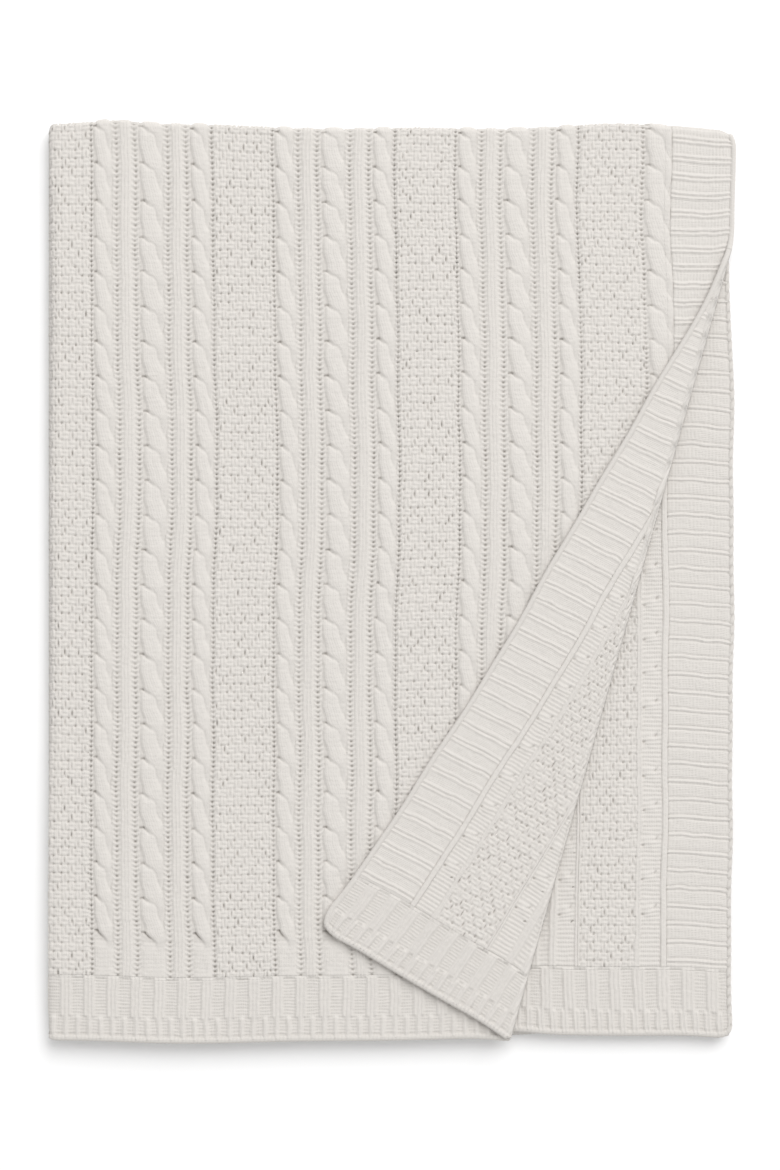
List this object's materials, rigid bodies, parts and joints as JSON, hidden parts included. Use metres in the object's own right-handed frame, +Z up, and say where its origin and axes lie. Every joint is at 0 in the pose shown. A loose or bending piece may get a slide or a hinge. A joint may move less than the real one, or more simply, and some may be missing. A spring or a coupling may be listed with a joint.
{
  "type": "folded throw blanket",
  "caption": "Cable knit throw folded into quarters, with ribbed side and end bands and one corner turned back.",
  "frame": {"origin": "middle of the underside of the folded throw", "axes": "+X across, from the left fold to the free sides; +Y along, from the free ends to the top fold; +Z up through the leaves"},
  "size_m": [0.652, 0.87, 0.0291],
  "materials": {
    "panel_yarn": "matte",
    "band_yarn": "matte",
    "edge_yarn": "matte",
    "seam_yarn": "matte"
  },
  "bodies": {
    "lower_pair": {"bottom_leaf_panel": "panel_yarn", "bottom_leaf_side_seam": "seam_yarn", "bottom_leaf_side_band": "band_yarn", "bottom_leaf_edge_chain": "edge_yarn", "bottom_leaf_end_seam": "seam_yarn", "bottom_leaf_end_band": "band_yarn", "bottom_leaf_bind_off": "edge_yarn", "bottom_leaf_left_fold": "panel_yarn", "third_leaf_panel": "panel_yarn", "third_leaf_side_seam": "seam_yarn", "third_leaf_side_band": "band_yarn", "third_leaf_edge_chain": "edge_yarn", "third_leaf_end_seam": "seam_yarn", "third_leaf_end_band": "band_yarn", "third_leaf_bind_off": "edge_yarn", "third_leaf_left_fold": "panel_yarn", "lower_top_fold_panel": "panel_yarn", "lower_top_fold_band": "band_yarn"},
    "upper_pair": {"second_leaf_panel": "panel_yarn", "second_leaf_side_seam": "seam_yarn", "second_leaf_side_band": "band_yarn", "second_leaf_edge_chain": "edge_yarn", "second_leaf_end_seam": "seam_yarn", "second_leaf_end_band": "band_yarn", "second_leaf_bind_off": "edge_yarn", "second_leaf_left_fold": "panel_yarn", "top_leaf_panel": "panel_yarn", "top_leaf_side_seam": "seam_yarn", "top_leaf_side_band": "band_yarn", "top_leaf_edge_chain": "edge_yarn", "top_leaf_end_seam": "seam_yarn", "top_leaf_end_band": "band_yarn", "top_leaf_bind_off": "edge_yarn", "top_leaf_left_fold": "panel_yarn", "upper_top_fold_panel": "panel_yarn", "upper_top_fold_band": "band_yarn", "corner_crease_under": "panel_yarn"},
    "corner": {"corner_panel": "panel_yarn", "corner_side_seam": "seam_yarn", "corner_side_band": "band_yarn", "corner_edge_chain": "edge_yarn", "corner_end_seam": "seam_yarn", "corner_end_band": "band_yarn", "corner_bind_off": "edge_yarn", "corner_crease_over": "panel_yarn"}
  },
  "joints": [
    {"name": "left_fold", "type": "hinge", "parent": "lower_pair", "child": "upper_pair", "pos_m": [-0.326, 0, 0.0116], "axis": [0, -1, 0], "range_deg": [0, 180]},
    {"name": "corner_crease", "type": "hinge", "parent": "upper_pair", "child": "corner", "pos_m": [0.326, 0.326, 0.0234], "axis": [0.2695, 0.963, 0], "range_deg": [0, 180]}
  ]
}
